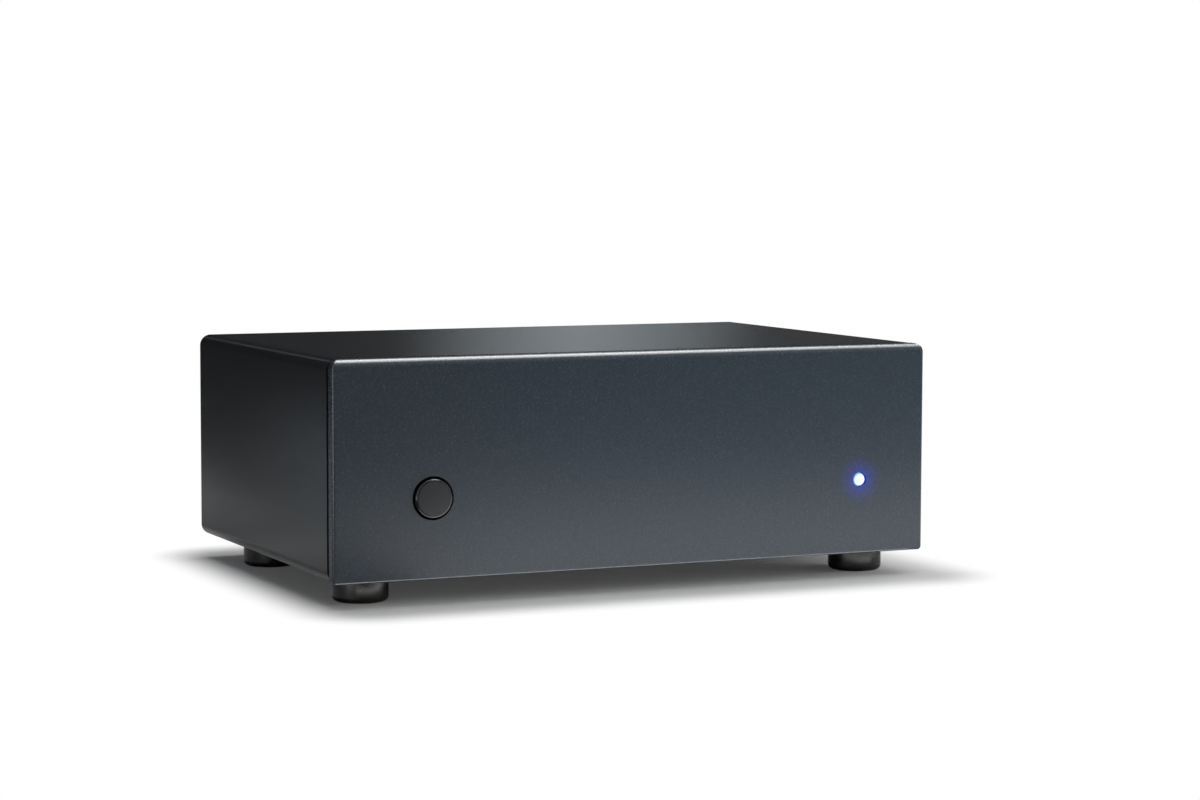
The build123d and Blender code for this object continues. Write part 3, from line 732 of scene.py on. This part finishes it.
footSpots = []
for corner in ("front_left", "front_right", "rear_left", "rear_right"):
    low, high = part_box("foot_" + corner)
    spot = Vector(((low.x + high.x) / 2, (low.y + high.y) / 2, 0))
    footSpots.append(spot)
    addPiece("rubberFoot." + corner, placed(rubberFoot(**footValues), spot), "case", "rubber",
             ["foot_" + corner])
print("feet made")

# Head: radius and height. Shank: radius and thread pitch.
screwValues = {
    "foot_screws": {"head": (2.8, 1.8), "shank": (1.5, 0.5), "turn": 0.4},
    "board_screws": {"head": (2.75, 1.7), "shank": (1.5, 0.5), "turn": 0.9},
    "front_panel_screws": {"head": (2.25, 1.5), "shank": (1.25, 0.45), "turn": 0.2},
    "socket_screws": {"head": (1.9, 1.3), "shank": (1.2, 0.45), "turn": 0.6},
}


def gridSpots(node, axes):
    # Centres of four screws at the corners of a node's box, in the plane of two axes
    low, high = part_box(node)
    inset = screwValues[node]["head"][0] * mm
    first, second = axes
    spots = []
    for a in (low[first] + inset, high[first] - inset):
        for b in (low[second] + inset, high[second] - inset):
            spot = Vector((0, 0, 0))
            spot[first], spot[second] = a, b
            spots.append(spot)
    return spots


def addScrews(node, pieceName, spots, way):
    # One shape for all screws of a node, each turned a little differently
    values = screwValues[node]
    low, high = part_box(node)
    axis = 1 if way == "back" else 2
    headHeight = values["head"][1] * mm
    if way == "down":
        headAt = low[axis] + headHeight
        length = (high[axis] - headAt) / mm
    else:
        headAt = high[axis] - headHeight
        length = (headAt - low[axis]) / mm
    shape = panScrew(*values["head"], *values["shank"], length)
    copies = []
    for index, spot in enumerate(spots):
        where = Vector(spot)
        where[axis] = headAt
        copies.append(placed(shape, where, way, values["turn"] + screwShape["turnStep"] * index))
    addPiece(pieceName, joined(*copies), "case", "zincSteel", [node])


addScrews("foot_screws", "footScrews", footSpots, "down")
addScrews("board_screws", "boardScrews", gridSpots("board_screws", (0, 1)), "up")
addScrews("front_panel_screws", "panelScrews", gridSpots("front_panel_screws", (0, 2)), "back")
low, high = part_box("socket_screws")
inset = screwValues["socket_screws"]["head"][0] * mm
level = (low.z + high.z) / 2
addScrews("socket_screws", "socketScrews",
          [(low.x + inset, 0, level), (high.x - inset, 0, level)], "back")

nutValues = {"across": 5.5, "bore": 3.0}
low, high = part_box("foot_nuts")
nut = hexNut((high.z - low.z) / mm, **nutValues)
addPiece("footNuts", joined(*[placed(nut, (spot.x, spot.y, low.z)) for spot in footSpots]),
         "case", "zincSteel", ["foot_nuts"])
print("screws and nuts made")

buttonValues = {"radius": 4.0, "stem": 2.0, "capLength": 5.8, "edges": (0, 0.3, 0, 0.2, 0.6, 0),
                "steps": 8, "sides": 96}


def button(length, radius, stem, capLength, edges, steps, sides):
    # Its stem starts on z = 0 and the cap's face is at the top
    shoulder = length - capLength
    return turned([(0.0, 0.0), (stem, 0.0), (stem, shoulder), (radius, shoulder),
                   (radius, length), (0.0, length)], edges, sides, steps)


addPiece("powerButton", placed(button((buttonHigh.y - buttonLow.y) / mm, **buttonValues),
                               (buttonCentre.x, buttonHigh.y, buttonCentre.z), "front"),
         "power_button", "buttonPlastic", ["power_button"])

lampValues = {"radius": 1.5, "flange": 1.9, "flangeLength": 1.0, "steps": 10, "sides": 48}


def lamp(length, radius, flange, flangeLength, steps, sides):
    # Flange on z = 0, round nose at the top
    base = [(0.0, 0.0), (flange, 0.0), (flange, flangeLength), (radius, flangeLength)]
    dome = [(radius * cos(angle), length - radius * (1 - sin(angle)))
            for angle in [pi / 2 * step / steps for step in range(steps)]]
    return lathe(base + dome + [(0.0, length)], sides)


addPiece("powerLight", placed(lamp((lampHigh.y - lampLow.y) / mm, **lampValues),
                              (lampCentre.x, lampHigh.y, lampCentre.z), "front"),
         "case", "lens", ["power_light"])
print("button and light made")

shellValues = {"inner": 3.65, "outer": 4.15, "flange": 4.4, "flangeLength": 3.0,
               "edges": (0.1, 0.15, 0.12, 0.06, 0.24, 0.24), "sides": 72}
insulatorValues = {"radius": 3.65, "recess": 0.6, "seat": 2.2,
                   "edges": (0, 0.1, 0.3, 0.4, 0, 0, 0, 0), "sides": 64}
contactValues = {"outer": 2.05, "inner": 1.65, "length": 8.0, "floor": 1.0, "root": 3.2,
                 "leaves": 4, "gap": 0.14, "edges": (0, 0, 0.15, 0.15), "leafSides": 12,
                 "sides": 48}


def socketShell(length, inner, outer, flange, flangeLength, edges, sides):
    return turned([(inner, 0.0), (flange, 0.0), (flange, flangeLength), (outer, flangeLength),
                   (outer, length), (inner, length)], edges, sides)


def socketInsulator(shellLength, radius, recess, seat, edges, sides):
    # A plug with a stepped bore that seats the contact
    outer, inner = contactValues["outer"], contactValues["inner"]
    length, lip = shellLength - recess, seat + contactValues["length"]
    return turned([(0.0, 0.0), (radius, 0.0), (radius, length), (inner, length), (inner, lip),
                   (outer, lip), (outer, seat), (0.0, seat)], edges, sides)


def socketContact(outer, inner, length, floor, root, leaves, gap, edges, leafSides, sides):
    # A cup whose front half is slit into springy leaves
    base = lathe([(0.0, 0.0), (outer, 0.0), (outer, root), (inner, root), (inner, floor),
                  (0.0, floor)], sides)
    leaf = rounded([(inner, root), (outer, root), (outer, length), (inner, length)], edges)
    share = 2 * pi / leaves
    return joined(base, *[lathe(leaf, leafSides, share * place + gap / 2, share - gap)
                          for place in range(leaves)])


for pair in ("input", "output"):
    for side, colour in (("left", "white"), ("right", "red")):
        node = pair + "_" + side
        low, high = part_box(node + "_shell")
        spot = Vector(((low.x + high.x) / 2, low.y, (low.z + high.z) / 2))
        seat = spot + Vector((0, insulatorValues["seat"] * mm, 0))
        length = (high.y - low.y) / mm
        shell = socketShell(length, **shellValues)
        insulator = socketInsulator(length, **insulatorValues)
        contact = socketContact(**contactValues)
        addPiece("socketShell." + node, placed(shell, spot, "back"),
                 "case", "goldPlate", [node + "_shell"])
        addPiece("socketInsulator." + node, placed(insulator, spot, "back"),
                 "case", colour + "Plastic", [node + "_insulator"])
        addPiece("socketContact." + node, placed(contact, seat, "back"),
                 "case", "goldPlate", [node + "_contact"])
print("phono sockets made")

inletValues = {"root": 1.4, "rootLength": 2.0, "pin": 1.05, "edges": (0, 0.1, 0.1, 0, 0.5, 0),
               "sides": 40}


def inletPin(length, root, rootLength, pin, edges, sides):
    return turned([(0.0, 0.0), (root, 0.0), (root, rootLength), (pin, rootLength),
                   (pin, length), (0.0, length)], edges, sides)


low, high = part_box("inlet_pin")
addPiece("inletPin", placed(inletPin((high.y - low.y) / mm, **inletValues),
                            ((low.x + high.x) / 2, low.y, (low.z + high.z) / 2), "back"),
         "case", "turnedBrass", ["inlet_pin"])

studValues = {"radius": 2.0, "pitch": 0.7, "tip": 0.45, "sides": 48, "levels": 10,
              "headRadius": 3.75, "headHeight": 2.2, "headEdges": (0, 0.3, 0.15, 0)}
groundNutValues = {"across": 7.0, "bore": 4.0}
washerValues = {"bore": 2.1, "radius": 4.5, "edges": (0.05, 0.14, 0.14, 0.05), "sides": 72}
knobValues = {"bore": 2.1, "boreEdge": 0.25, "radius": 5.0, "chamfer": 0.6, "steps": 4,
              "teeth": 30, "toothSteps": 8, "toothDepth": 0.42, "toothPower": 1.5,
              "dish": 3.5, "dishDepth": 0.5, "flare": 0.15, "lip": 0.12, "taper": 0.1}
knobEdgeAngle = 28.0


def groundStud(length, radius, pitch, tip, sides, levels, headRadius, headHeight, headEdges):
    # Round head, inside the case, and the thread through the wall
    head = turned([(0.0, 0.0), (headRadius, 0.0), (headRadius, headHeight), (0.0, headHeight)],
                  headEdges, sides)
    return joined(head, threadedRod(radius, pitch, length, tip, sides, levels))


def washer(thickness, bore, radius, edges, sides):
    return turned([(bore, 0.0), (radius, 0.0), (radius, thickness), (bore, thickness)],
                  edges, sides)


def knurledKnob(height, bore, boreEdge, radius, chamfer, steps, teeth, toothSteps, toothDepth,
                toothPower, dish, dishDepth, flare, lip, taper):
    # Straight knurl with chamfered ends and a shallow dish in the outer face
    def knurl(limit):
        def across(side):
            wave = 0.5 + 0.5 * cos(2 * pi * side / toothSteps)
            return min(limit, radius - toothDepth * (1 - wave) ** toothPower)
        return across

    def ring(across, level):
        return circle(across, lambda side: level, teeth * toothSteps)

    def plain(across, level):
        return ring(lambda side: across, level)

    levels = [(step * chamfer / steps, radius - chamfer + step * chamfer / steps)
              for step in range(steps + 1)]
    rings = [plain(bore, boreEdge), plain(bore + boreEdge, 0.0)]
    rings += [ring(knurl(limit), level) for level, limit in levels]
    rings += [ring(knurl(limit), height - level) for level, limit in reversed(levels)]
    floor = height - dishDepth
    rings += [plain(dish + flare, height), plain(dish, height - lip), plain(dish - taper, floor),
              plain(bore + boreEdge, floor), plain(bore, floor - boreEdge)]
    return loft(rings, closed=True)


low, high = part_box("ground_stud")
studX, studZ = (low.x + high.x) / 2, (low.z + high.z) / 2


def addGroundPiece(name, node, make, values, body, finish, sharp=edgeAngle):
    # The shape is made for its node's length and stands on the stud's axis
    low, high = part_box(node)
    shape = make((high.y - low.y) / mm, **values)
    addPiece(name, placed(shape, (studX, low.y, studZ), "back"), body, finish, [node], sharp)


addGroundPiece("groundStud", "ground_stud", groundStud, studValues,
               "case", "turnedBrass")
addGroundPiece("groundNut", "ground_nut", hexNut, groundNutValues,
               "case", "zincSteel")
addGroundPiece("groundWasher", "ground_washer", washer, washerValues,
               "ground_washer", "zincSteel")
addGroundPiece("groundKnob", "ground_knob", knurledKnob, knobValues,
               "ground_knob", "goldPlate", knobEdgeAngle)
print("ground terminal and inlet pin made")

studio = {
    "floorTone": 0.80, "floorSpan": 12.0, "floorGrain": 1.5 * mm, "grainShare": 0.02,
    "floorGain": 0.96,               # the floor's brightness to the camera against its own light
    "shadowEnd": (0.0041, 0.0200),   # its shading eases into plain white over this distance
    "shadowEdge": (-0.0073, -0.0036, 0.0014, -0.0114),   # from here: left, right, front, back
    "shadowLeast": 0.043,            # share of white where the shading is strongest
    "mirrorGain": 0.60,              # brightness and distance as mirrors see them
    "mirrorEnd": (0.030, 0.300),
    "worldLevel": 0.15,
}
# Dark cloths round the set: corners on the floor with the height over each, and a foot whose colour
# can be paler; on the side cloth the pale foot is painted light, standing in for floor light near
# its base
farCloth = {
    "corners": [(-0.112, -0.190), (0.900, -0.190), (0.900, 1.900), (-0.112, 1.900)],
    "heights": (0.35, 0.35, 1.90, 1.90), "tone": rgb(0.03, 0.03, 0.03),
    "foot": rgb(0.03, 0.03, 0.03), "footTop": (0.040, 0.010), "footEnd": (0.145, 0.020),
    "grain": 2.0 * mm, "grainShare": 0.05, "rough": 0.95, "shades": False,
}
cloths = {
    "sideCloth": dict(farCloth, corners=[(-0.112, -0.020), (-0.112, 1.900)],
                      heights=(0.35, 0.50), tone=rgb(0.028, 0.030, 0.033),
                      foot=rgb(0.80, 0.89, 0.99), shades=True),
    "farCloth": farCloth,
}
up = (0, 0, 1)


def onFloor(x, y):
    # Place, aim and direction of a lamp that lies on the floor and shines up
    return (x, y, mm), (x, y, 1.0), (0, 1, 0)


# Soft lamps: centre, the point it faces, direction of its height, width and height, brightness,
# and sometimes a tint
softboxes = {
    "topStrip": ((0.44, 0.10, 1.05), (0.0, 0.0, 0.05), up, (0.16, 1.70), 12.0),
    "topSoft": ((0.44, 0.10, 1.05), (0.0, 0.0, 0.05), up, (0.50, 1.70), 3.84),
    "rearDiamond": ((0.631, 1.361, 0.23), (0.0, 0.0, 0.05), (0.7, -0.3, 0.7), (0.185, 0.185), 0.53,
                    (0.89, 1.0, 1.07)),
    "rearGlow": ((0.75, 1.30, 0.25), (0.0, 0.0, 0.05), (0.7, -0.3, 0.7), (0.46, 0.46), 0.045),
    "rightFill": ((1.10, -0.50, 0.30), (0.0, 0.0, 0.03), up, (0.60, 0.50), 8.5),
    "frontTable": (*onFloor(0.102, -0.115), (0.286, 0.120), 1.46),
    "edgeTable": (*onFloor(0.0, -0.0515), (0.135, 0.005), 5.0),
    "foldTable": (*onFloor(-0.066, 0.010), (0.012, 0.130), 0.16),
    "sideTable": (*onFloor(-0.092, 0.015), (0.035, 0.070), 0.15),
    "backTable": (*onFloor(0.010, 0.180), (0.14, 0.25), 1.4),
    "glossCard": ((0.66, -0.643, 1.43), (0.41, -0.023, -0.01), (0.0, 0.91, 0.41), (0.75, 3.40),
                  9.8),
    "leftCard": ((-0.214, -0.114, 0.015), (-0.06, -0.02, 0.005), up, (0.056, 0.030), 6.5),
}
# Seen in reflections only, and left out of them
glossOnly = ["topStrip", "edgeTable", "foldTable", "sideTable", "glossCard", "leftCard"]
matteOnly = ["topSoft"]


def stageMesh(name, verts, faces):
    mesh = bpy.data.meshes.new(name)
    mesh.from_pydata(verts, [], faces)
    thing = bpy.data.objects.new(name, mesh)
    bpy.context.scene.collection.objects.link(thing)
    return thing


def seenBy(start):
    # 1 for what the camera, mirrors and glass see of the set, 0 for the light that it throws
    rays = [start.node("LightPath", out=name)
            for name in ("Is Camera Ray", "Is Glossy Ray", "Is Transmission Ray")]
    return start.math("MINIMUM", rays[0] + rays[1] + rays[2], 1.0)


def addFloor(values):
    # Pale floor: its own shading near the object eases into plain white further out
    span = values["floorSpan"]
    floor = stageMesh("floor", [(-span, -span, 0), (span, -span, 0), (span, span, 0),
                                (-span, span, 0)], [(0, 1, 2, 3)])
    paper = Finish("floorPaper")
    start = paper.start
    left, right, front, back = values["shadowEdge"]
    low = (cadBox[0][0] - left, cadBox[0][1] - front)
    high = (cadBox[1][0] + right, cadBox[1][1] + back)
    outside = []
    for axis, wire in enumerate((paper.x, paper.y)):
        middle, half = (low[axis] + high[axis]) / 2, (high[axis] - low[axis]) / 2
        outside.append(start.math("MAXIMUM", abs(wire - middle) - half, 0.0))
    away = start.math("SQRT", outside[0] * outside[0] + outside[1] * outside[1])
    camera = start.node("LightPath", out="Is Camera Ray")
    mirrors = seenBy(start) - camera
    toCamera = away.eased(*values["shadowEnd"]) * (1 - values["shadowLeast"])
    toCamera = values["shadowLeast"] + toCamera
    whiteShare = camera * toCamera + mirrors * away.eased(*values["mirrorEnd"])
    grain = paper.noise(values["floorGrain"]) * values["grainShare"] + (1 - values["grainShare"])
    gain = 1 + camera * (values["floorGain"] - 1) + mirrors * (values["mirrorGain"] - 1)
    shading = start.node("BsdfDiffuse", None,
                         {"Color": grain * values["floorTone"] * gain})
    white = start.node("Emission", None, {"Color": rgb(1, 1, 1), "Strength": 1.0})
    above = start.node("MixShader", None, {0: whiteShare, 1: shading, 2: white})
    # A camera under the floor looks through it
    below = start.node("NewGeometry", out="Backfacing")
    clear = start.node("BsdfTransparent")
    mixed = start.node("MixShader", None, {0: below, 1: above, 2: clear})
    feed(paper.tree, paper.tree.nodes["Material Output"].inputs["Surface"], mixed)
    floor.data.materials.append(paper.material)


def addCloth(name, values):
    # The camera looks past it
    corners, count = values["corners"], len(values["corners"])
    verts = [(x, y, 0.0) for x, y in corners]
    verts += [(x, y, height) for (x, y), height in zip(corners, values["heights"])]
    walls = stageMesh(name, verts, [(side, side + 1, side + 1 + count, side + count)
                                    for side in range(count - 1)])
    weave = Finish(name + "Weave")
    # Painted light: the foot's paler colour is strongest low down and towards the front, fading
    # upwards and backwards
    foot = weave.z.eased(*values["footTop"]) * weave.y.eased(*values["footEnd"])
    share = values["grainShare"]
    foot = foot * ((1 - share) + weave.noise(values["grain"]) * share)
    walls.data.materials.append(weave.done(Base_Color=foot.paint(values["tone"], values["foot"]),
                                           Roughness=values["rough"], Specular_IOR_Level=0.0))
    walls.visible_camera = False
    walls.visible_shadow = False
    walls.visible_transmission = False
    walls.visible_diffuse = values["shades"]


def addSoftbox(name, where, aim, along, size, level, tint=(1.0, 1.0, 1.0)):
    width, height = size
    light = bpy.data.lights.new(name, "AREA")
    light.shape = "RECTANGLE"
    light.size = width
    light.size_y = height
    light.energy = level * width * height * pi
    light.color = tint
    box = bpy.data.objects.new(name, light)
    bpy.context.scene.collection.objects.link(box)
    box.location = where
    back = (Vector(where) - Vector(aim)).normalized()
    side = Vector(along).cross(back).normalized()
    box.rotation_euler = Matrix((side, back.cross(side), back)).transposed().to_euler()
    box.visible_camera = False
    box.visible_diffuse = name not in glossOnly
    box.visible_glossy = name not in matteOnly


def addWorld(values):
    # White to the camera and in reflections, a plain low level on the object
    world = bpy.data.worlds.new("studioAir")
    bpy.context.scene.world = world
    world.use_nodes = True
    background = world.node_tree.nodes["Background"]
    level = values["worldLevel"]
    strength = level + seenBy(Wire(world.node_tree)) * (1.0 - level)
    feed(world.node_tree, background.inputs["Color"], rgb(1, 1, 1))
    feed(world.node_tree, background.inputs["Strength"], strength)


addFloor(studio)
for name, settings in cloths.items():
    addCloth(name, settings)
addWorld(studio)
for name, settings in softboxes.items():
    addSoftbox(name, *settings)
print("studio made")

cameraValues = {"lens": 89.0, "sensor": 36.0, "near": 0.01, "far": 60.0,
                "where": (-0.2645, -0.5983, 0.0911), "heading": -24.89, "tilt": -4.81, "roll": 0.16}
camera = bpy.data.objects.new("camera", bpy.data.cameras.new("camera"))
bpy.context.scene.collection.objects.link(camera)
camera.data.lens = cameraValues["lens"]
camera.data.sensor_width = cameraValues["sensor"]
camera.data.clip_start = cameraValues["near"]
camera.data.clip_end = cameraValues["far"]
camera.location = cameraValues["where"]
camera.rotation_euler = (Matrix.Rotation(radians(cameraValues["heading"]), 3, "Z")
                         @ Matrix.Rotation(radians(90 + cameraValues["tilt"]), 3, "X")
                         @ Matrix.Rotation(radians(cameraValues["roll"]), 3, "Z")).to_euler()
bpy.context.scene.camera = camera
bpy.context.scene.view_settings.view_transform = "Standard"
